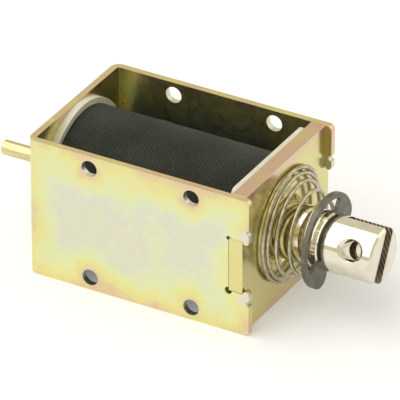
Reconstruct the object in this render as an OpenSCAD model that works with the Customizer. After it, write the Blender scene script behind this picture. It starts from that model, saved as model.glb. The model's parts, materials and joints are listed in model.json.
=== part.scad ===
// Push-pull solenoid with an open frame, drawn at rest with its plunger out.
// The origin is on the plunger's axis, at the rear plate's outer face.
// +X runs along the axis to the clevis end, +Z is up.

/* [Frame] */
// Length from the rear plate's outer face to the side plates' front edges
frame_length = 64; // [60:0.5:80]
// Width over the two side plates
frame_width = 44.5; // [42:0.5:60]
// Height of the frame and of the front plate
frame_height = 39; // [38:0.5:50]
// Thickness of the bent sheet
sheet = 1.8; // [1.5:0.1:2.2]
// Radius inside the two rear bends
bend_r = 0.7; // [0.3:0.1:1.5]
// Radius of the side plates' front corners
corner_r = 1.4; // [0.5:0.1:2]

/* [Side mounting holes] */
// Diameter of the holes in the side plates
side_hole_d = 4.5; // [3.4:0.1:5.5]
// Distance of the hole centres from the top and bottom edges
side_hole_edge = 3.6; // [3.4:0.1:6]
// Distance of the rear holes from the rear plate's outer face
side_hole_rear = 18.2; // [12:0.1:24]
// Distance of the front holes from the side plates' front edges
side_hole_front = 16.5; // [12:0.1:20]

/* [Front plate] */
// Thickness of the front plate
plate_t = 4; // [3:0.1:5]
// Distance that the plate sits behind the side plates' front edges
plate_setback = 1.8; // [1.6:0.1:2.5]
// Height of the tab at each side of the plate
tab_height = 15; // [10:0.5:18]
// Clearance round each tab in its notch
tab_clear = 0.1; // [0.05:0.01:0.2]
// Radius of the relief in a notch's upper corner
relief_top_r = 0.6; // [0.4:0.1:1]
// Radius of the relief in a notch's lower corner
relief_bottom_r = 1; // [0.4:0.1:1.4]
// Radius of the lips that are peened over the tabs' front face
stake_r = 0.8; // [0.5:0.1:0.8]
// Distance of each punch groove from its lip
stake_gap = 2.6; // [2.2:0.1:4]
// Width of the chamfer at the mouth of the plate's bore
mouth_chamfer = 0.9; // [0.3:0.1:1.2]

/* [Coil] */
// Clearance of the bobbin's flanges from the frame's edges and side plates
flange_clear = 0.3; // [0.2:0.05:1]
// Thickness of the round rear flange
rear_flange_t = 2; // [1.2:0.1:3]
// Thickness of the straight-sided front flange
front_flange_t = 1.5; // [1.2:0.1:3]
// Clearance of the front flange from each side plate
front_flange_side = 1.9; // [0.5:0.1:3]
// Corner radius of the front flange
front_flange_r = 2; // [1:0.5:4]
// Height of the flange's rim above the tape
flange_lip = 1.5; // [1:0.1:3]
// Wall of the bobbin's barrel
barrel_t = 1.2; // [0.8:0.1:2]
// Thickness of the wrapped cloth tape
tape_t = 0.6; // [0.4:0.1:1]
// Width of the tape's strips
tape_width = 19; // [12:1:25]
// Width over which one strip laps the next
tape_lap = 1.4; // [1:0.1:3]
// Width of the two lead-out slots in the rear flange
lead_slot = 1.8; // [1:0.1:2.5]

/* [Core and guide] */
// Wall of the brass guide tube
guide_wall = 0.6; // [0.4:0.1:0.8]
// Radial running clearance of the plunger in the guide tube
plunger_clear = 0.1; // [0.05:0.01:0.1]
// Length of the fixed core in front of the rear plate
core_length = 22; // [16:0.5:26]
// Diameter of the core's spigot in the rear plate
spigot_d = 8; // [7:0.5:10]
// Radial clearance between pieces that are pressed or slipped together
seat_clear = 0.03; // [0.02:0.01:0.05]
// Thickness of the non-magnetic washer on the core
washer_t = 0.5; // [0.3:0.1:1]
// Gap between the plunger's nose and the core's conical seat when pulled in
nose_gap = 0.4; // [0.3:0.05:0.8]
// Gap left in front of the washer at the end of the stroke
stop_gap = 0.05; // [0.02:0.01:0.1]

/* [Plunger] */
// Diameter of the plunger
plunger_d = 15; // [14:0.1:15.5]
// Travel of the plunger from rest to the core
stroke = 10; // [6:0.5:10]
// Distance from the side plates' front edges to the plunger's end at rest
plunger_reach = 26.1; // [25:0.1:34]
// Length of the conical nose
nose_length = 6; // [4:0.5:8]
// Radius of the nose at its root
nose_root_r = 5.2; // [4.5:0.1:5.5]
// Radius of the nose at its tip
nose_tip_r = 3; // [2.8:0.1:3.5]
// Chamfer at the plunger's end
end_chamfer = 0.5; // [0.2:0.1:1]
// Diameter of the cross hole for the clevis pin
pin_hole_d = 5.2; // [4:0.1:6]
// Distance of the cross hole from the plunger's end
pin_hole_inset = 6.1; // [5:0.1:8]
// Depth of the countersinks at the cross hole's ends
pin_countersink = 1; // [0.3:0.1:1.2]
// Width of the slot in the clevis
slot_width = 4; // [3:0.1:6]
// Depth of the slot in the clevis
slot_depth = 11; // [9.5:0.5:12]
// Angle of the slot about the axis, from +Y towards +Z
clevis_angle = 63; // [0:1:180]

/* [Push rod] */
// Diameter of the push rod
rod_d = 4; // [3:0.1:5]
// Length of the rod behind the rear plate at rest
rod_reach = 20.3; // [12:0.1:30]
// Radial running clearance of the rod in the core
rod_clear = 0.1; // [0.05:0.01:0.1]
// Length of the rod that is pressed into the plunger
rod_grip = 12; // [8:0.5:16]
// Chamfer at the rod's end
rod_chamfer = 0.5; // [0.2:0.1:1]

/* [Retaining clip] */
// Thickness of the clip
clip_t = 1.2; // [0.8:0.1:1.5]
// Diameter over the fitted clip
clip_d = 25.2; // [22:0.1:27]
// Diameter of the groove's floor
groove_d = 12; // [11:0.1:12.5]
// Clearance of the clip in its groove
groove_clear = 0.05; // [0.03:0.01:0.1]
// Radial width of the clip's rim between its two lugs
clip_rim = 1.6; // [1.5:0.1:3]
// Angle from the middle of the rim to each lug's inner edge
leg_start = 77; // [70:1:90]
// Angle from the middle of the rim to the centre of each lug's round end
leg_end = 111; // [110:1:122]
// Angle of the middle of the rim about the axis, from +Y towards +Z
clip_angle = 132; // [0:1:360]

/* [Return spring] */
// Diameter of the spring wire
wire_d = 1.1; // [0.8:0.1:1.4]
// Outer diameter of the large end coil, on the front plate
spring_big_d = 31.4; // [26:0.2:33]
// Gap between the small end coil and the plunger
spring_clear = 0.5; // [0.3:0.1:1.5]
// Number of turns
spring_turns = 4.6; // [3:0.1:6]
// Angle of the wire's free end on the plate, from +Y towards +Z
spring_start = 28; // [0:1:360]
// Gap left at each end of the spring
spring_seat = 0.05; // [0.02:0.01:0.1]
// Distance that the large end coil lies off the axis, towards +Y
spring_shift = 1.2; // [0:0.1:1.5]

/* [Hidden] */
$fn = 96;
eps = 0.01;

// Frame
inner_width = frame_width - 2 * sheet;
bend_outer_r = bend_r + sheet;
side_hole_z = frame_height / 2 - side_hole_edge;
side_hole_x = [side_hole_rear, frame_length - side_hole_front];
spigot_clear_d = spigot_d + 2 * seat_clear;

// Front plate, from its back face to its front face
plate_front = frame_length - plate_setback;
plate_back = plate_front - plate_t;
notch_half = tab_height / 2 + tab_clear;
stake_x = plate_front + stake_r + tab_clear;
groove_z = notch_half + stake_gap;

// Guide tube, which the plunger runs in
plunger_r = plunger_d / 2;
guide_r = plunger_r + plunger_clear;
guide_outer_r = guide_r + guide_wall;
guide_front = plate_front - mouth_chamfer;

// Bobbin and winding
flange_r = min(frame_height, inner_width) / 2 - flange_clear;
tape_r = flange_r - flange_lip;
barrel_inner_r = guide_outer_r + seat_clear;
barrel_r = barrel_inner_r + barrel_t;
coil_start = sheet + rear_flange_t;
coil_end = plate_back - front_flange_t;
tape_pitch = tape_width - tape_lap;

// Core, washer and plunger along the axis
core_face = sheet + core_length;
washer_face = core_face + washer_t;
shoulder = washer_face + stroke + stop_gap;
plunger_end = frame_length + plunger_reach;
seat_depth = nose_length - washer_t + nose_gap;
seat_mouth_r = nose_root_r + nose_gap;
seat_floor_r = nose_tip_r + nose_gap;

// Clip, which stands one flattened coil and the stroke in front of the plate
clip_back = plate_front + stroke + wire_d + 2 * spring_seat;
clip_front = clip_back + clip_t;
clip_inner_r = groove_d / 2 + groove_clear;
clip_r = clip_d / 2;
pocket_r = clip_r - clip_rim;
leg_r = (clip_r - clip_inner_r) / 2;

// Spring wire's centre line
wire_r = wire_d / 2;
coil_big_r = spring_big_d / 2 - wire_r;
coil_small_r = plunger_r + spring_clear + wire_r;
wire_first = plate_front + spring_seat + wire_r;
wire_last = clip_back - spring_seat - wire_r;

// Turns a shape that is drawn along Z so that it lies along +X
module along_x(from = 0) {
    translate([from, 0, 0]) rotate([0, 90, 0]) children();
}

// Tube along X
module tube(from, to, outer_r, inner_r) {
    along_x(from) difference() {
        cylinder(h = to - from, r = outer_r);
        translate([0, 0, -eps]) cylinder(h = to - from + 2 * eps, r = inner_r);
    }
}

// Revolves a profile of [radius, x] points about the X axis
module turned(profile) {
    along_x() rotate_extrude() polygon(profile);
}

// Rectangle centred on the origin with round corners
module round_rect(width, height, r) {
    difference() {
        square([width, height], center = true);
        for (sx = [-1, 1], sy = [-1, 1]) {
            translate([sx * (width / 2 - r), sy * (height / 2 - r)]) difference() {
                translate([sx > 0 ? 0 : -r - eps, sy > 0 ? 0 : -r - eps])
                    square(r + eps);
                circle(r);
            }
        }
    }
}

// Quarter ring of a rear bend, in plan, for the bend on the +Y side
module bend() {
    translate([bend_outer_r, frame_width / 2 - bend_outer_r]) intersection() {
        difference() {
            circle(bend_outer_r);
            circle(bend_r);
        }
        translate([-bend_outer_r, 0]) square(bend_outer_r);
    }
}

// Plan of the bent strip: rear plate, two bends and two side plates
module strip_plan() {
    flat = frame_width - 2 * bend_outer_r;
    translate([0, -flat / 2]) square([sheet, flat]);
    for (side = [0, 1]) mirror([0, side]) {
        bend();
        translate([bend_outer_r, frame_width / 2 - sheet])
            square([frame_length - bend_outer_r, sheet]);
    }
}

// Square corner block with its quarter round left out
module corner_cut() {
    difference() {
        square(corner_r + eps);
        circle(corner_r);
    }
}

// Everything that is punched out of the side plates, drawn in the XZ plane
module side_punching() {
    for (x = side_hole_x, up = [-1, 1])
        translate([x, up * side_hole_z]) circle(d = side_hole_d);
    translate([plate_back, -notch_half])
        square([frame_length - plate_back + eps, 2 * notch_half]);
    translate([plate_back, notch_half]) circle(relief_top_r);
    translate([plate_back, -notch_half]) circle(relief_bottom_r);
    for (up = [0, 1]) mirror([0, up])
        translate([frame_length - corner_r, frame_height / 2 - corner_r])
            corner_cut();
}

// Peened lips that hold the tabs back, one at each end of each notch
module stake_lips() {
    for (side = [0, 1], up = [-1, 1]) mirror([0, side, 0])
        translate([stake_x, frame_width / 2, up * notch_half])
            rotate([90, 0, 0]) cylinder(h = sheet, r = stake_r);
}

// Punch grooves across the front edges, which raised the lips
module stake_grooves() {
    for (up = [-1, 1])
        translate([frame_length, frame_width / 2 + eps, up * groove_z])
            rotate([90, 0, 0]) cylinder(h = frame_width + 2 * eps, r = stake_r);
}

// U-shaped frame, bent from one strip and open at the top and bottom
module frame() color("#d3c98c") {
    difference() {
        translate([0, 0, -frame_height / 2])
            linear_extrude(frame_height) strip_plan();
        translate([0, frame_width / 2 + eps, 0]) rotate([90, 0, 0])
            linear_extrude(frame_width + 2 * eps) side_punching();
        stake_grooves();
        along_x(-eps) cylinder(h = sheet + 2 * eps, d = spigot_clear_d);
    }
    stake_lips();
}

// Thick front plate between the side plates, with a tab in each notch
module front_plate() color("#c9bd86") {
    body_width = inner_width - 2 * seat_clear;
    difference() {
        union() {
            translate([plate_back, -body_width / 2, -frame_height / 2])
                cube([plate_t, body_width, frame_height]);
            translate([plate_back + tab_clear, -frame_width / 2, -tab_height / 2])
                cube([plate_t - tab_clear, frame_width, tab_height]);
        }
        along_x(plate_back - eps)
            cylinder(h = plate_t + 2 * eps, r = guide_outer_r + seat_clear);
        along_x(guide_front) cylinder(
            h = mouth_chamfer + eps,
            r1 = guide_outer_r + seat_clear,
            r2 = guide_outer_r + seat_clear + mouth_chamfer + eps
        );
    }
}

// Moulded bobbin: barrel, round rear flange and straight-sided front flange
module bobbin() color("#e9e4cf") {
    front_width = inner_width - 2 * front_flange_side;
    front_height = frame_height - 2 * flange_clear;
    difference() {
        union() {
            along_x(sheet) cylinder(h = rear_flange_t, r = flange_r);
            along_x(sheet) cylinder(h = plate_back - sheet, r = barrel_r);
            translate([coil_end, 0, 0]) rotate([90, 0, 90])
                linear_extrude(front_flange_t)
                    round_rect(front_width, front_height, front_flange_r);
        }
        along_x(sheet - eps)
            cylinder(h = plate_back - sheet + 2 * eps, r = barrel_inner_r);
        lead_slots();
    }
}

// Slots under the rear flange where the winding's two ends come out
module lead_slots() {
    for (side = [-1, 1])
        translate([sheet - eps, side * 2.5 * lead_slot, -flange_r - eps]) {
            translate([0, -lead_slot / 2, 0])
                cube([rear_flange_t + 2 * eps, lead_slot, flange_lip + lead_slot]);
            translate([0, 0, flange_lip + lead_slot]) rotate([0, 90, 0])
                cylinder(h = rear_flange_t + 2 * eps, d = lead_slot);
        }
}

// Enamelled copper winding, as the solid that its wire fills
module winding() color("#a85a32")
    tube(
        coil_start + seat_clear, coil_end - seat_clear,
        tape_r - tape_t - seat_clear, barrel_r + seat_clear
    );

// Cloth tape in strips side by side, each lapped over the last
module tape_wrap() color("#26261f") {
    strips = ceil((coil_end - coil_start - tape_lap) / tape_pitch);
    lap_r = tape_r + tape_t / 3;
    tube(coil_start, coil_end, tape_r, tape_r - tape_t);
    for (i = [1 : 1 : strips - 1])
        tube(
            coil_start + i * tape_pitch, coil_start + i * tape_pitch + tape_lap,
            lap_r, tape_r - tape_t / 2
        );
}

// Thin brass tube that guides the plunger
module guide_tube() color("#b08d4a")
    tube(sheet, guide_front, guide_outer_r, guide_r);

// Fixed steel core, staked into the rear plate and bored for the push rod
module fixed_core() color("#8d8d88") {
    bore_r = rod_d / 2 + rod_clear;
    core_r = guide_r - seat_clear;
    turned([
        [bore_r, 0],
        [spigot_d / 2, 0],
        [spigot_d / 2, sheet],
        [core_r, sheet],
        [core_r, core_face],
        [seat_mouth_r, core_face],
        [seat_floor_r, core_face - seat_depth],
        [bore_r, core_face - seat_depth]
    ]);
}

// Non-magnetic washer that keeps the plunger from sticking to the core
module core_washer() color("#c8a860")
    tube(core_face, washer_face, guide_r - 2 * seat_clear, seat_mouth_r + seat_clear);

// Cross hole with its two countersinks, drawn along Z
module pin_hole() {
    hole_r = pin_hole_d / 2;
    cylinder(h = plunger_d + 2 * eps, r = hole_r, center = true);
    for (end = [0, 1]) mirror([0, 0, end])
        translate([0, 0, plunger_r - pin_countersink])
            cylinder(
                h = pin_countersink + eps, r1 = hole_r,
                r2 = hole_r + pin_countersink + eps
            );
}

// Plated steel plunger: conical nose, clip groove and slotted clevis end
module plunger() color("#d8d6cc") {
    groove_back = clip_back - groove_clear;
    groove_front = clip_front + groove_clear;
    rod_seat_r = rod_d / 2 + seat_clear;
    rod_floor = shoulder - nose_length + rod_grip + seat_clear;
    difference() {
        turned([
            [rod_seat_r, shoulder - nose_length],
            [nose_tip_r, shoulder - nose_length],
            [nose_root_r, shoulder],
            [plunger_r, shoulder],
            [plunger_r, groove_back],
            [groove_d / 2, groove_back],
            [groove_d / 2, groove_front],
            [plunger_r, groove_front],
            [plunger_r, plunger_end - end_chamfer],
            [plunger_r - end_chamfer, plunger_end],
            [0, plunger_end],
            [0, rod_floor],
            [rod_seat_r, rod_floor]
        ]);
        rotate([clevis_angle, 0, 0]) {
            translate([plunger_end - slot_depth, -plunger_r - eps, -slot_width / 2])
                cube([slot_depth + eps, plunger_d + 2 * eps, slot_width]);
            translate([plunger_end - pin_hole_inset, 0, 0]) pin_hole();
        }
    }
}

// Push rod, pressed into the plunger's nose
module push_rod() color("#cdbf8a") {
    rod_r = rod_d / 2;
    turned([
        [0, -rod_reach],
        [rod_r - rod_chamfer, -rod_reach],
        [rod_r, -rod_reach + rod_chamfer],
        [rod_r, shoulder - nose_length + rod_grip],
        [0, shoulder - nose_length + rod_grip]
    ]);
}

// Point on a circle in the clip's plane
function polar(r, a) = [r * cos(a), r * sin(a)];

// Pie slice from angle a to angle b, long enough to pass radius r
module slice(a, b, r) {
    steps = 6;
    polygon(concat(
        [[0, 0]],
        [for (i = [0 : steps]) polar(1.5 * r, a + (b - a) * i / steps)]
    ));
}

// Cut-out inside the rim, from lug to lug, with round corners
module clip_pocket() {
    corner = clip_rim / 3;
    turn = asin(corner / (pocket_r - corner));
    intersection() {
        circle(pocket_r - corner);
        slice(-leg_start, leg_start, clip_r);
    }
    intersection() {
        circle(pocket_r);
        difference() {
            slice(turn - leg_start, leg_start - turn, clip_r);
            circle(pocket_r - 2 * corner);
        }
    }
    for (a = [turn - leg_start, leg_start - turn])
        translate(polar(pocket_r - corner, a)) circle(corner);
}

// Outline of the open clip, with the middle of its rim along +X of the sketch
module clip_outline() {
    difference() {
        union() {
            intersection() {
                circle(clip_r);
                slice(-leg_end, leg_end, clip_r);
            }
            for (a = [-leg_end, leg_end])
                translate(polar(clip_inner_r + leg_r, a)) circle(leg_r);
        }
        circle(clip_inner_r);
        clip_pocket();
    }
}

// Spring-steel clip in the plunger's groove, which the spring pushes against
module retaining_clip() color("#55554c")
    translate([clip_back, 0, 0]) rotate([clip_angle, 0, 0]) rotate([90, 0, 90])
        linear_extrude(clip_t) clip_outline();

// Centre line of the conical spring: s runs from 0 on the plate to 1 at the clip.
// The first two turns are close, and then the wire opens into its cone.
function coil_radius(s) = coil_big_r + (coil_small_r - coil_big_r) * pow(s, 1.25);
function coil_x(s) = wire_first
    + (wire_last - wire_first) * (0.4 * s + 0.6 * pow(max(0, (s - 0.42) / 0.58), 1.1));
function coil_point(s) =
    let (a = spring_start + 360 * spring_turns * s, shift = spring_shift * (1 - s))
    [coil_x(s), shift + coil_radius(s) * cos(a), shift / 2 + coil_radius(s) * sin(a)];

// Ring of the wire's section at s, square to the axis of the wire
function wire_ring(s, sides) =
    let (
        a = spring_start + 360 * spring_turns * s,
        out = [0, cos(a), sin(a)],
        c = coil_point(s)
    )
    [for (k = [0 : sides - 1])
        let (b = 360 * k / sides)
        c + wire_r * cos(b) * out + [wire_r * sin(b), 0, 0]];

// Conical return spring of round wire between the plate and the clip
module return_spring() color("#9a9684") {
    sides = 8;
    rings = ceil(spring_turns * 28);
    last = rings * sides;
    points = [for (i = [0 : rings]) each wire_ring(i / rings, sides)];
    walls = [
        for (i = [0 : rings - 1], k = [0 : sides - 1])
            let (a = i * sides, n = (k + 1) % sides)
            [a + k, a + sides + k, a + sides + n, a + n]
    ];
    start_cap = [for (k = [0 : sides - 1]) k];
    end_cap = [for (k = [0 : sides - 1]) last + sides - 1 - k];
    polyhedron(points, concat(walls, [start_cap, end_cap]), convexity = 8);
}

frame();
front_plate();
bobbin();
winding();
tape_wrap();
guide_tube();
fixed_core();
core_washer();
plunger();
push_rod();
retaining_clip();
return_spring();
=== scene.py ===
import json
import math

import bmesh
import bpy
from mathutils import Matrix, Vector, noise


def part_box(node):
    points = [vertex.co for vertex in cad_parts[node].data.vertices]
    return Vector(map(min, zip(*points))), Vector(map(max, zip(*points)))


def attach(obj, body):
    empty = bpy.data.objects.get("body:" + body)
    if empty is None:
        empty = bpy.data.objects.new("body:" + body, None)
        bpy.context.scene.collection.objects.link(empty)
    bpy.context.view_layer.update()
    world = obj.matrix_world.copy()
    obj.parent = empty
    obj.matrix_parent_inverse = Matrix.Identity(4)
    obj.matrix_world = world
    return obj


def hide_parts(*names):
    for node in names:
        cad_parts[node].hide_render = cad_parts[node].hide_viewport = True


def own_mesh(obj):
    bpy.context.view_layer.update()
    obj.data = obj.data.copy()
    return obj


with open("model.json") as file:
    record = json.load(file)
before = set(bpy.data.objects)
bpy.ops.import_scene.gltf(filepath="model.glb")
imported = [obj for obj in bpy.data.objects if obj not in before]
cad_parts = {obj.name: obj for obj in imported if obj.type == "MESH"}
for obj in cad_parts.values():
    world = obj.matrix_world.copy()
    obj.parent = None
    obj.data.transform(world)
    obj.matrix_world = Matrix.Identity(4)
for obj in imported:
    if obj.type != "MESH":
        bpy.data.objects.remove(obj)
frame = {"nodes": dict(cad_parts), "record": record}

bpy.context.view_layer.update()

# Frame: one strip of mild steel, punched flat, bent into a U and then plated with zinc.
# The yellow chromate dip leaves a film a fraction of a micron thick, so its colour drifts
# from rose and straw near the edges to pale green and grey on the flats.
MM = 0.001
frame_low, frame_high = (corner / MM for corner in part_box("frame"))
plate_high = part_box("front_plate")[1] / MM
mounts = {mount["name"]: mount for mount in frame["record"]["mounts"]}


def colour(code):
    """Linear colour from an sRGB hex code."""
    parts = [int(code[i:i + 2], 16) / 255 for i in (1, 3, 5)]
    return [*(c / 12.92 if c <= 0.04045 else ((c + 0.055) / 1.055) ** 2.4 for c in parts), 1]


def add(tree, kind, links=(), stops=(), **settings):
    """Adds a node with its settings, its linked or plain inputs and its ramp's stops."""
    node = tree.nodes.new("ShaderNode" + kind)
    for key, value in settings.items():
        setattr(node, key, value)
    for key, value in dict(links).items():
        if isinstance(value, bpy.types.Node):
            value = value.outputs[0]
        if isinstance(value, bpy.types.NodeSocket):
            tree.links.new(value, node.inputs[key])
        else:
            node.inputs[key].default_value = value
    if stops:
        ramp = node.color_ramp.elements
        ramp.remove(ramp[1])
        for i, (at, code) in enumerate(stops):
            stop = ramp.new(at) if i else ramp[0]
            stop.position, stop.color = at, colour(code)
    return node


def new_finish(name):
    """A new material, its empty tree, and the place on the object in millimetres."""
    finish = bpy.data.materials.new(name)
    finish.use_nodes = True
    tree = finish.node_tree
    tree.nodes.clear()
    place = add(
        tree, "VectorMath", {0: add(tree, "TexCoord").outputs["Object"], "Scale": 1 / MM},
        operation="SCALE")
    return finish, tree, place


def wear(obj, finish):
    """Gives a finish to each of a piece's material slots."""
    if not obj.material_slots:
        obj.data.materials.append(finish)
    for slot in obj.material_slots:
        slot.material = finish


def soften(obj, width, segments=2, angle=35):
    """Breaks a piece's sharp edges by this many millimetres, as tumbling or plating does."""
    weld = obj.modifiers.new("weld", "WELD")
    weld.merge_threshold = 2e-6
    bevel = obj.modifiers.new("broken edges", "BEVEL")
    bevel.width, bevel.segments = width * MM, segments
    bevel.limit_method, bevel.angle_limit = "ANGLE", math.radians(angle)
    bevel.use_clamp_overlap = True
    obj.modifiers.new("even normals", "WEIGHTED_NORMAL")


def yellow_zinc(tree, place, film, rubbed, stops, rough, grain):
    """Yellow-chromated zinc by its film; silvery for punch wear, and as a painted highlight in holes.
    """
    cloud = add(tree, "TexNoise", {"Vector": place, "Scale": 1 / 9, "Detail": 3, "Roughness": 0.55})
    drift = add(tree, "MapRange", {0: cloud, 1: 0.3, 2: 0.7, 3: -0.2, 4: 0.2})
    mottle = add(tree, "TexNoise", {"Vector": place, "Scale": 1 / 2.2, "Detail": 4})
    speck = add(tree, "MapRange", {0: mottle, 1: 0.3, 2: 0.7, 3: -0.035, 4: 0.035})
    thick = add(tree, "Math", {0: film, 1: drift}, operation="ADD")
    thick = add(tree, "Math", {0: thick, 1: speck}, operation="ADD")
    tint = add(tree, "ValToRGB", {0: thick}, stops=stops)
    # Cold-rolled sheet under the zinc: grains of about a tenth of a millimetre
    steel = add(tree, "TexNoise", {"Vector": place, "Scale": 1 / grain, "Detail": 2})
    dull = add(tree, "MapRange", {0: mottle, 1: 0.3, 2: 0.7, 3: rough[0], 4: rough[1]})
    relief = add(tree, "Bump", {"Strength": 0.05, "Distance": 0.02 * MM, "Height": steel})
    # Silver where rubbed: punch wear on the lips, and a painted highlight on the hole walls
    silver = add(tree, "MixRGB", {0: rubbed, 1: tint, 2: colour("#dcdbcf")})
    torn = add(tree, "MapRange", {0: rubbed, 3: 0, 4: 0.16})
    dull = add(tree, "Math", {0: dull, 1: torn}, operation="ADD")
    shader = add(tree, "BsdfPrincipled", {
        "Base Color": silver, "Metallic": 1, "Roughness": dull, "Normal": relief})
    add(tree, "OutputMaterial", {"Surface": shader})


finish, tree, place = new_finish("yellow_zinc_sheet")
axes = add(tree, "SeparateXYZ", {0: place})
height = add(tree, "Math", {0: axes.outputs[2]}, operation="ABSOLUTE")
across = add(tree, "Math", {0: axes.outputs[1]}, operation="ABSOLUTE")
to_top = add(tree, "Math", {0: frame_high.z, 1: height}, operation="SUBTRACT")
to_front = add(tree, "Math", {0: frame_high.x, 1: axes.outputs[0]}, operation="SUBTRACT")
to_side = add(tree, "Math", {0: frame_high.y, 1: across}, operation="SUBTRACT")
to_rear = add(tree, "Math", {0: axes.outputs[0], 1: to_side}, operation="MAXIMUM")
to_edge = add(tree, "Math", {0: to_top, 1: to_front}, operation="MINIMUM")
to_edge = add(tree, "Math", {0: to_edge, 1: to_rear}, operation="MINIMUM")
film = add(tree, "MapRange", {0: to_edge, 1: 0.2, 2: 11, 3: 0.12, 4: 0.86})
flat_place = add(tree, "CombineXYZ", {0: axes.outputs[0], 1: height})
pattern = mounts["side_holes_near"]
hole_r = pattern["dims"]["hole_r_mm"]
hole_z = pattern["dims"]["spacing_y_mm"] / 2
# The staking punch leaves bright lips past the ends of the plate's tab. The holes' walls are rougher
# where
# # their own punch sheared them, and their paler colour is a painted highlight
tab_half = 7.5
lip = (plate_high.x + 0.5, tab_half + 1.5, 0)
from_lip = add(
    tree, "VectorMath", {0: flat_place, 1: lip}, operation="DISTANCE").outputs["Value"]
rubbed = add(tree, "MapRange", {0: from_lip, 1: 2.6, 2: 1.2, 3: 0, 4: 0.85})
for side in (-1, 1):
    hole_x = pattern["pos_m"][0] / MM + side * pattern["dims"]["spacing_x_mm"] / 2
    away = add(
        tree, "VectorMath", {0: flat_place, 1: (hole_x, hole_z, 0)}, operation="DISTANCE"
    ).outputs["Value"]
    round_hole = add(tree, "MapRange", {0: away, 1: hole_r, 2: hole_r + 7, 3: 0.1, 4: 0.95})
    film = add(tree, "Math", {0: film, 1: round_hole, 2: 0.1}, operation="SMOOTH_MIN")
    # Painted highlight: the hole walls are laid pale silver and made rougher
    torn_wall_and_highlight = add(tree, "MapRange", {0: away, 1: hole_r + 0.2, 2: hole_r + 0.05, 3: 0, 4: 0.8})
    rubbed = add(tree, "Math", {0: rubbed, 1: torn_wall_and_highlight}, operation="MAXIMUM")
yellow_zinc(
    tree, place, film, rubbed,
    [(0, "#e0c4a4"), (0.12, "#dfcda2"), (0.26, "#e3da98"), (0.42, "#e2e0a2"), (0.58, "#dde2b2"),
     (0.74, "#dbdfbe"), (0.88, "#dad8c8"), (1, "#d6dcc2")],
    (0.26, 0.36), 0.12)
body_frame = frame["nodes"]["frame"]
soften(body_frame, 0.25)
wear(body_frame, finish)

# Bobbin: moulded in natural nylon, which is a milky cream that light enters a little.
# Its barrel carries the winding between a round rear flange and a straight-sided front
# flange, and it is slipped into the frame before the front plate is staked.
finish, tree, place = new_finish("natural_nylon_moulded")
cloud = add(tree, "TexNoise", {"Vector": place, "Scale": 1 / 6, "Detail": 3})
tint = add(tree, "ValToRGB", {0: cloud}, stops=[(0.3, "#d9d3b6"), (0.7, "#e6e2cc")])
skin = add(tree, "TexNoise", {"Vector": place, "Scale": 1 / 0.35, "Detail": 2})
relief = add(tree, "Bump", {"Strength": 0.2, "Distance": 0.03 * MM, "Height": skin})
shader = add(tree, "BsdfPrincipled", {
    "Base Color": tint, "Roughness": 0.45, "IOR": 1.53, "Subsurface Weight": 0.25,
    "Subsurface Radius": (1.0, 0.9, 0.7), "Subsurface Scale": 0.8 * MM, "Normal": relief})
add(tree, "OutputMaterial", {"Surface": shader})
bobbin = frame["nodes"]["bobbin"]
soften(bobbin, 0.15)
wear(bobbin, finish)

# Winding: enamelled copper wire laid in level turns on the barrel, hidden by the tape.
# The enamel is clear, so the copper keeps its colour under a gloss.
finish, tree, place = new_finish("enamelled_copper_wire")
axes = add(tree, "SeparateXYZ", {0: place})
copper_pitch = 0.5
turn = add(tree, "Math", {0: axes.outputs[0], 1: 2 * math.pi / copper_pitch}, operation="MULTIPLY")
wave = add(tree, "Math", {0: turn}, operation="SINE")
# Painted shade: the copper is darker in the valleys between turns and lighter on their crowns
tint = add(tree, "ValToRGB", {0: wave}, stops=[(0.1, "#8a4424"), (0.9, "#bd6c42")])
relief = add(tree, "Bump", {"Strength": 0.6, "Distance": 0.1 * MM, "Height": wave})
shader = add(tree, "BsdfPrincipled", {
    "Base Color": tint, "Metallic": 0.9, "Roughness": 0.3, "Coat Weight": 0.5, "Normal": relief})
add(tree, "OutputMaterial", {"Surface": shader})
wear(frame["nodes"]["winding"], finish)

# Cloth tape: black woven cotton, wound over the coil in strips side by side.
# The turns of wire show through it as fine ribs, and each strip laps the last one.
tape_low, tape_high = (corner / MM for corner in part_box("tape_wrap"))
lap_r = tape_high.z
tape_r = lap_r - 0.2
rib = 0.98  # from one turn of wire under the tape to the next
strip = 17.6  # width of the tape
lap = 1.4  # of one strip over the last
tape_t = 0.6


def smooth(a, b, x):
    """0 before a and 1 after b, with a smooth rise between them."""
    t = min(max((x - a) / (b - a), 0), 1)
    return t * t * (3 - 2 * t)


def mesh_piece(name, points, faces, body, node):
    """A new smooth piece from points in millimetres, riding on a body in place of a node."""
    mesh = bpy.data.meshes.new(name)
    mesh.from_pydata([Vector(p) * MM for p in points], [], faces)
    mesh.validate()
    for face in mesh.polygons:
        face.use_smooth = True
    obj = bpy.data.objects.new(name, mesh)
    bpy.context.scene.collection.objects.link(obj)
    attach(obj, body)
    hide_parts(node)
    return obj


def ring_faces(rings, sides, closed=False):
    """Quads between rings of points, one after the other."""
    return [
        (i % rings * sides + k, i % rings * sides + (k + 1) % sides,
         (i + 1) % rings * sides + (k + 1) % sides, (i + 1) % rings * sides + k)
        for i in range(rings if closed else rings - 1) for k in range(sides)]


def tape_radius(x, a):
    """Outside of the wrapped tape at a place along and round the coil."""
    along = x - tape_low.x
    spot = Vector((x / 7, 2.4 * math.cos(a), 2.4 * math.sin(a)))
    r = tape_r - 0.1 + 0.07 * noise.noise(spot)
    r += 0.035 * math.cos(2 * math.pi * (x / rib + 0.12 * noise.noise(spot * 2)))
    for i in (1, 2):
        start = i * strip + 0.25 * noise.noise(Vector((i, math.cos(a), math.sin(a))))
        height = 0.17 if i == 1 else 0.08
        r += height * smooth(start - 0.08, start + 0.05, along) * (
            1 - smooth(start + lap, start + 3 * lap, along))
        r -= 0.10 * height / 0.17 * math.exp(-(((along - start + 0.12) / 0.12) ** 2))
    return min(r, lap_r)


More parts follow.
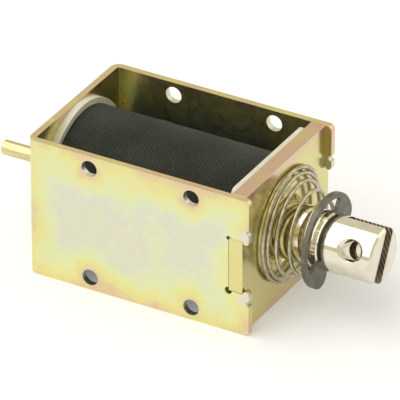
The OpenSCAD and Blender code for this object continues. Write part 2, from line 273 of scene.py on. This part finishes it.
sides = 180
spans = 336
length = tape_high.x - tape_low.x
stations = [tape_low.x + 0.01 + (length - 0.02) * i / spans for i in range(spans + 1)]
points = []
for x in stations:
    for k in range(sides):
        a = 2 * math.pi * k / sides
        r = tape_radius(x, a)
        points.append((x, r * math.cos(a), r * math.sin(a)))
for x in reversed(stations[::spans]):
    for k in range(sides):
        a = 2 * math.pi * k / sides
        points.append((x, (tape_r - tape_t) * math.cos(a), (tape_r - tape_t) * math.sin(a)))
tape = mesh_piece(
    "wrapped_tape", points, ring_faces(len(points) // sides, sides, closed=True),
    "body", "tape_wrap")
finish, tree, place = new_finish("black_cotton_tape")
axes = add(tree, "SeparateXYZ", {0: place})
around = add(tree, "Math", {0: axes.outputs[1], 1: axes.outputs[2]}, operation="ARCTAN2")
# Unrolled place on the tape: along the coil, and round it at its radius
arc = add(tree, "Math", {0: around, 1: tape_r}, operation="MULTIPLY")
unrolled = add(tree, "CombineXYZ", {0: axes.outputs[0], 1: arc})
# Threads of about 0.5 mm, which is as fine as shows
waves = []
split = add(tree, "SeparateXYZ", {0: unrolled})
for axis, pitch in ((0, 0.49), (1, 0.62)):
    phase = add(tree, "Math", {0: split.outputs[axis], 1: 2 * math.pi / pitch}, operation="MULTIPLY")
    waves.append(add(tree, "Math", {0: phase}, operation="SINE"))
weave = add(tree, "Math", {0: waves[0], 1: waves[1]}, operation="MULTIPLY")
fuzz = add(tree, "TexNoise", {"Vector": place, "Scale": 1 / 0.4, "Detail": 3})
ribs = add(tree, "Math", {0: axes.outputs[0], 1: 2 * math.pi / rib}, operation="MULTIPLY")
ribs = add(tree, "Math", {0: ribs}, operation="COSINE")
shadow = add(tree, "MapRange", {0: ribs, 1: -1, 2: 1, 3: -0.14, 4: 0.14})
fade = add(tree, "TexNoise", {"Vector": place, "Scale": 1 / 3.5, "Detail": 2})
shadow = add(tree, "Math", {0: shadow, 1: fade}, operation="MULTIPLY")
level = add(tree, "Math", {0: fuzz, 1: shadow}, operation="ADD")
thread = add(tree, "MapRange", {0: weave, 1: -1, 2: 1, 3: -0.08, 4: 0.08})
level = add(tree, "Math", {0: level, 1: thread}, operation="ADD")
dust = add(tree, "TexNoise", {"Vector": place, "Scale": 1 / 14, "Detail": 3})
dust = add(tree, "MapRange", {0: dust, 1: 0.35, 2: 0.65, 3: -0.12, 4: 0.12})
level = add(tree, "Math", {0: level, 1: dust}, operation="ADD")
tint = add(tree, "ValToRGB", {0: level}, stops=[(0.2, "#1e2019"), (0.5, "#303228"), (0.8, "#44463a")])
nap = add(tree, "Math", {0: weave, 1: fuzz}, operation="ADD")
relief = add(tree, "Bump", {"Strength": 0.5, "Distance": 0.08 * MM, "Height": nap})
shader = add(tree, "BsdfPrincipled", {
    "Base Color": tint, "Roughness": 0.85, "Sheen Weight": 0.06, "Sheen Roughness": 0.5,
    "Specular IOR Level": 0.25, "Normal": relief})
add(tree, "OutputMaterial", {"Surface": shader})
wear(tape, finish)

# Guide tube, core and washer: a thin drawn brass tube lines the bobbin and the plate's
# bore, and a turned steel core is staked behind it in the rear plate, with a brass shim
# on its face. They only show down the bore.
for node, name, light, dark, rough in (
        ("guide_tube", "drawn_brass", "#c9a65c", "#a08040", 0.3),
        ("core_washer", "brass_shim", "#c4a35e", "#9c8044", 0.35),
        ("fixed_core", "turned_steel", "#a3a19a", "#7f7d76", 0.35)):
    finish, tree, place = new_finish(name)
    # Marks left round the axis by drawing or turning, a quarter of a millimetre apart
    marks = add(tree, "VectorMath", {0: place, 1: (4, 0.05, 0.05)}, operation="MULTIPLY")
    marks = add(tree, "TexNoise", {"Vector": marks, "Scale": 1, "Detail": 3})
    tint = add(tree, "ValToRGB", {0: marks}, stops=[(0.3, dark), (0.7, light)])
    relief = add(tree, "Bump", {"Strength": 0.2, "Distance": 0.03 * MM, "Height": marks})
    shader = add(tree, "BsdfPrincipled", {
        "Base Color": tint, "Metallic": 1, "Roughness": rough, "Normal": relief})
    add(tree, "OutputMaterial", {"Surface": shader})
    soften(frame["nodes"][node], 0.1)
    wear(frame["nodes"][node], finish)

# Front plate: 4 mm steel plate, plated like the frame but more evenly golden, since it is
# ground flat first. A tab at each side sits in the frame's notch, where the sheet in front
# of it is punched over to hold it.
finish, tree, place = new_finish("yellow_zinc_plate")
axes = add(tree, "SeparateXYZ", {0: place})
height = add(tree, "Math", {0: axes.outputs[2]}, operation="ABSOLUTE")
to_top = add(tree, "Math", {0: plate_high.z, 1: height}, operation="SUBTRACT")
film = add(tree, "MapRange", {0: to_top, 1: 0.1, 2: 5, 3: 0.05, 4: 0.6})
yellow_zinc(
    tree, place, film, 0,
    [(0, "#dcbfa8"), (0.12, "#dcc4a2"), (0.3, "#dccd96"), (0.6, "#dcd394"), (1, "#dadb9e")],
    (0.16, 0.24), 0.12)
front_plate = frame["nodes"]["front_plate"]
soften(front_plate, 0.25)
wear(front_plate, finish)

# Plunger: free-cutting steel, turned to a mirror, then nickel plated. The clevis end is
# slotted with a side cutter, which leaves slanting feed marks on the slot's walls, and
# cross-drilled and countersunk for a 5 mm pin.
plunger_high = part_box("plunger")[1] / MM
clevis_angle = math.radians(63)
slot_half = 2
slot_depth = 11
slot_floor = plunger_high.x - slot_depth
feed_pitch = 0.9
finish, tree, place = new_finish("bright_nickel")
turned = add(tree, "VectorRotate", {
    "Vector": place, "Axis": (1, 0, 0), "Angle": -clevis_angle}, rotation_type="AXIS_ANGLE")
axes = add(tree, "SeparateXYZ", {0: turned})
off_middle = add(tree, "Math", {0: axes.outputs[2]}, operation="ABSOLUTE")
in_slot = add(tree, "MapRange", {0: off_middle, 1: slot_half + 0.02, 2: slot_half + 0.12, 3: 1, 4: 0})
past_floor = add(tree, "MapRange", {
    0: axes.outputs[0], 1: slot_floor - 0.12, 2: slot_floor - 0.02, 3: 0, 4: 1})
milled = add(tree, "Math", {0: in_slot, 1: past_floor}, operation="MULTIPLY")
# Feed marks at a slant across the slot's walls
slant = add(
    tree, "VectorMath", {0: turned, 1: (0.8, 0.6, 0)}, operation="DOT_PRODUCT").outputs["Value"]
feed = add(tree, "Math", {0: slant, 1: 2 * math.pi / feed_pitch}, operation="MULTIPLY")
feed = add(tree, "Math", {0: feed}, operation="SINE")
# The slot's walls are a darker brown than cut steel: the slanting feed marks are real, and the
# darkness is partly painted shade of the narrow slot
cut_tint_and_shade = add(tree, "ValToRGB", {0: add(tree, "MapRange", {0: feed, 1: -1, 2: 1})},
               stops=[(0.1, "#7d7062"), (0.9, "#a89c88")])
haze = add(tree, "TexNoise", {"Vector": place, "Scale": 1 / 3, "Detail": 4})
tint = add(tree, "ValToRGB", {0: haze}, stops=[(0.3, "#dcd5c0"), (0.7, "#ebe6d8")])
tint = add(tree, "Mix", {0: milled, 6: tint, 7: cut_tint_and_shade}, data_type="RGBA").outputs[2]
# Turning lines, drawn at 0.3 mm so that they show as a faint brushing round the shaft
lines = add(tree, "VectorMath", {0: place, 1: (3.3, 0.1, 0.1)}, operation="MULTIPLY")
lines = add(tree, "TexNoise", {"Vector": lines, "Scale": 1, "Detail": 3})
relief = add(tree, "Bump", {"Strength": 0.05, "Distance": 0.01 * MM, "Height": lines})
cut_relief = add(tree, "Bump", {"Strength": 0.5, "Distance": 0.1 * MM, "Height": feed})
relief = add(tree, "Mix", {0: milled, 4: relief, 5: cut_relief}, data_type="VECTOR").outputs[1]
dull = add(tree, "MapRange", {0: lines, 1: 0.3, 2: 0.7, 3: 0.07, 4: 0.12})
dull = add(tree, "Mix", {0: milled, 2: dull, 3: 0.38}, data_type="FLOAT").outputs[0]
shader = add(tree, "BsdfPrincipled", {
    "Base Color": tint, "Metallic": 1, "Roughness": dull, "Normal": relief})
add(tree, "OutputMaterial", {"Surface": shader})
plunger = frame["nodes"]["plunger"]
soften(plunger, 0.12)
wear(plunger, finish)

# Push rod: drawn brass rod with a turned chamfer, pressed into the plunger's nose, so it
# comes out behind the frame as the plunger goes in.
finish, tree, place = new_finish("drawn_brass_rod")
streaks = add(tree, "VectorMath", {0: place, 1: (0.2, 3, 3)}, operation="MULTIPLY")
streaks = add(tree, "TexNoise", {"Vector": streaks, "Scale": 1, "Detail": 3})
tint = add(tree, "ValToRGB", {0: streaks}, stops=[(0.3, "#c6b784"), (0.7, "#e6d9ab")])
relief = add(tree, "Bump", {"Strength": 0.1, "Distance": 0.02 * MM, "Height": streaks})
shader = add(tree, "BsdfPrincipled", {
    "Base Color": tint, "Metallic": 1, "Roughness": 0.28, "Normal": relief})
add(tree, "OutputMaterial", {"Surface": shader})
push_rod = frame["nodes"]["push_rod"]
soften(push_rod, 0.08)
wear(push_rod, finish)

# Return spring: bright spring wire coiled to a cone. It is slipped over the plunger, its
# wide end lies on the front plate and its narrow end bears on the clip.
spring_low, spring_high = (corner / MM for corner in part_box("return_spring"))
wire_r = 0.55
turns = 4.6
start = math.radians(28)
big_r = 15.15
small_r = 8.55
shift = 1.2
sides = 14
rings = int(turns * 64)
points = []
for i in range(rings + 1):
    s = i / rings
    a = start + 2 * math.pi * turns * s
    r = big_r + (small_r - big_r) * s ** 1.25
    climb = 0.4 * s + 0.6 * max(0, (s - 0.42) / 0.58) ** 1.1
    x = spring_low.x + wire_r + (spring_high.x - spring_low.x - 2 * wire_r) * climb
    # The cut ends are broken by a slight taper
    edge = 1 - 0.25 * max(0, 1 - min(i, rings - i) / 1.5)
    for k in range(sides):
        b = 2 * math.pi * k / sides
        rr = r + wire_r * edge * math.cos(b)
        points.append((
            x + wire_r * edge * math.sin(b), shift * (1 - s) + rr * math.cos(a),
            shift / 2 * (1 - s) + rr * math.sin(a)))
faces = ring_faces(rings + 1, sides)
faces += [tuple(range(sides))[::-1], tuple(range(rings * sides, rings * sides + sides))]
spring = mesh_piece("coiled_spring", points, faces, "body", "return_spring")
finish, tree, place = new_finish("bright_spring_wire")
streaks = add(tree, "TexNoise", {"Vector": place, "Scale": 1 / 1.5, "Detail": 4})
tint = add(tree, "ValToRGB", {0: streaks}, stops=[(0.3, "#a39a82"), (0.7, "#c9c2ac")])
relief = add(tree, "Bump", {"Strength": 0.15, "Distance": 0.02 * MM, "Height": streaks})
shader = add(tree, "BsdfPrincipled", {
    "Base Color": tint, "Metallic": 1, "Roughness": 0.22, "Normal": relief})
add(tree, "OutputMaterial", {"Surface": shader})
wear(spring, finish)
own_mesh(spring)

# Retaining clip: an open ring with two lugs, punched from spring steel, hardened, tumbled
# and phosphated to a dark grey. It snaps sideways into the plunger's groove.
finish, tree, place = new_finish("phosphated_spring_steel")
cloud = add(tree, "TexNoise", {"Vector": place, "Scale": 1 / 2.5, "Detail": 5})
tint = add(tree, "ValToRGB", {0: cloud}, stops=[(0.3, "#5d5c50"), (0.7, "#7d7b6c")])
crystals = add(tree, "TexNoise", {"Vector": place, "Scale": 1 / 0.25, "Detail": 2})
relief = add(tree, "Bump", {"Strength": 0.25, "Distance": 0.03 * MM, "Height": crystals})
dull = add(tree, "MapRange", {0: cloud, 1: 0.3, 2: 0.7, 3: 0.32, 4: 0.46})
shader = add(tree, "BsdfPrincipled", {
    "Base Color": tint, "Metallic": 0.8, "Roughness": dull, "Normal": relief})
add(tree, "OutputMaterial", {"Surface": shader})
clip = frame["nodes"]["retaining_clip"]
soften(clip, 0.22, segments=3)
wear(clip, finish)

# Studio: the solenoid lies on a large sheet of white paper under one broad soft box.
# The background shows as white, and the metal sees the room as a pale cream. The paper keeps
# the shadow.
floor_mesh = bpy.data.meshes.new("paper")
paper = bmesh.new()
half = 6.0
for x, y in ((-half, -half), (half, -half), (half, half), (-half, half)):
    paper.verts.new((x, y, frame_low.z * MM))
paper.faces.new(paper.verts)
paper.to_mesh(floor_mesh)
paper.free()
floor = bpy.data.objects.new("paper", floor_mesh)
bpy.context.scene.collection.objects.link(floor)
finish, tree, place = new_finish("white_paper")
sight = add(tree, "LightPath")
seen = add(tree, "Math", {0: sight.outputs["Is Camera Ray"], 1: sight.outputs["Is Glossy Ray"]},
           operation="MAXIMUM")
seen = add(tree, "Math", {0: seen, 1: sight.outputs["Is Transmission Ray"]}, operation="MAXIMUM")
glow = add(tree, "Math", {0: seen, 1: 0.2}, operation="MULTIPLY")
shader = add(tree, "BsdfPrincipled", {
    "Base Color": colour("#f4f3ef"), "Roughness": 0.9, "Specular IOR Level": 0.1,
    "Emission Color": (1, 1, 1, 1), "Emission Strength": glow})
add(tree, "OutputMaterial", {"Surface": shader})
wear(floor, finish)

world = bpy.data.worlds.new("studio")
bpy.context.scene.world = world
world.use_nodes = True
tree = world.node_tree
tree.nodes.clear()
sight = add(tree, "LightPath")
seen = add(tree, "Math", {0: sight.outputs["Is Camera Ray"], 1: sight.outputs["Is Transmission Ray"]},
           operation="MAXIMUM")
room = add(tree, "Background", {0: colour("#fbfaf6"), 1: 0.5})
mirror = add(tree, "Background", {0: colour("#e9e2cd"), 1: 0.95})
white = add(tree, "Background", {0: (1, 1, 1, 1), 1: 1})
look = add(tree, "MixShader", {0: sight.outputs["Is Glossy Ray"], 1: room, 2: mirror})
look = add(tree, "MixShader", {0: seen, 1: look, 2: white})
add(tree, "OutputWorld", {"Surface": look})

centre = Vector((32, 0, 0)) * MM  # the middle of the coil
for name, towards, reach, size, watts in (
        ("soft_box", (-0.42, -0.43, 0.80), 1.1, (1.7, 2.0), 13),
        ("back_fill", (0.75, 0.8, 0.6), 1.6, (1.2, 1.2), 3)):
    light = bpy.data.lights.new(name, "AREA")
    light.shape, light.energy = "RECTANGLE", watts
    light.size, light.size_y = size
    lamp = bpy.data.objects.new(name, light)
    bpy.context.scene.collection.objects.link(lamp)
    outwards = Vector(towards).normalized()
    lamp.location = centre + outwards * reach
    lamp.rotation_mode = "QUATERNION"
    lamp.rotation_quaternion = (-outwards).to_track_quat("-Z", "X")

# Camera: a long lens from the front left, above the frame's top edge
azimuth, elevation = math.radians(29.52), math.radians(30.8)
back = Vector((
    math.sin(azimuth) * math.cos(elevation), -math.cos(azimuth) * math.cos(elevation),
    math.sin(elevation)))
lens = bpy.data.cameras.new("camera")
lens.lens, lens.sensor_width = 603.5, 36
lens.clip_start, lens.clip_end = 0.1, 50
camera = bpy.data.objects.new("camera", lens)
bpy.context.scene.collection.objects.link(camera)
camera.rotation_mode = "QUATERNION"
camera.rotation_quaternion = (-back).to_track_quat("-Z", "Y")
right = camera.rotation_quaternion @ Vector((1, 0, 0))
up = camera.rotation_quaternion @ Vector((0, 1, 0))
distance = 1696
camera.location = centre + (back * distance + right * 4.78 - up * 0.54) * MM
bpy.context.scene.camera = camera

bpy.context.scene.view_settings.view_transform = "Standard"
bpy.context.view_layer.update()
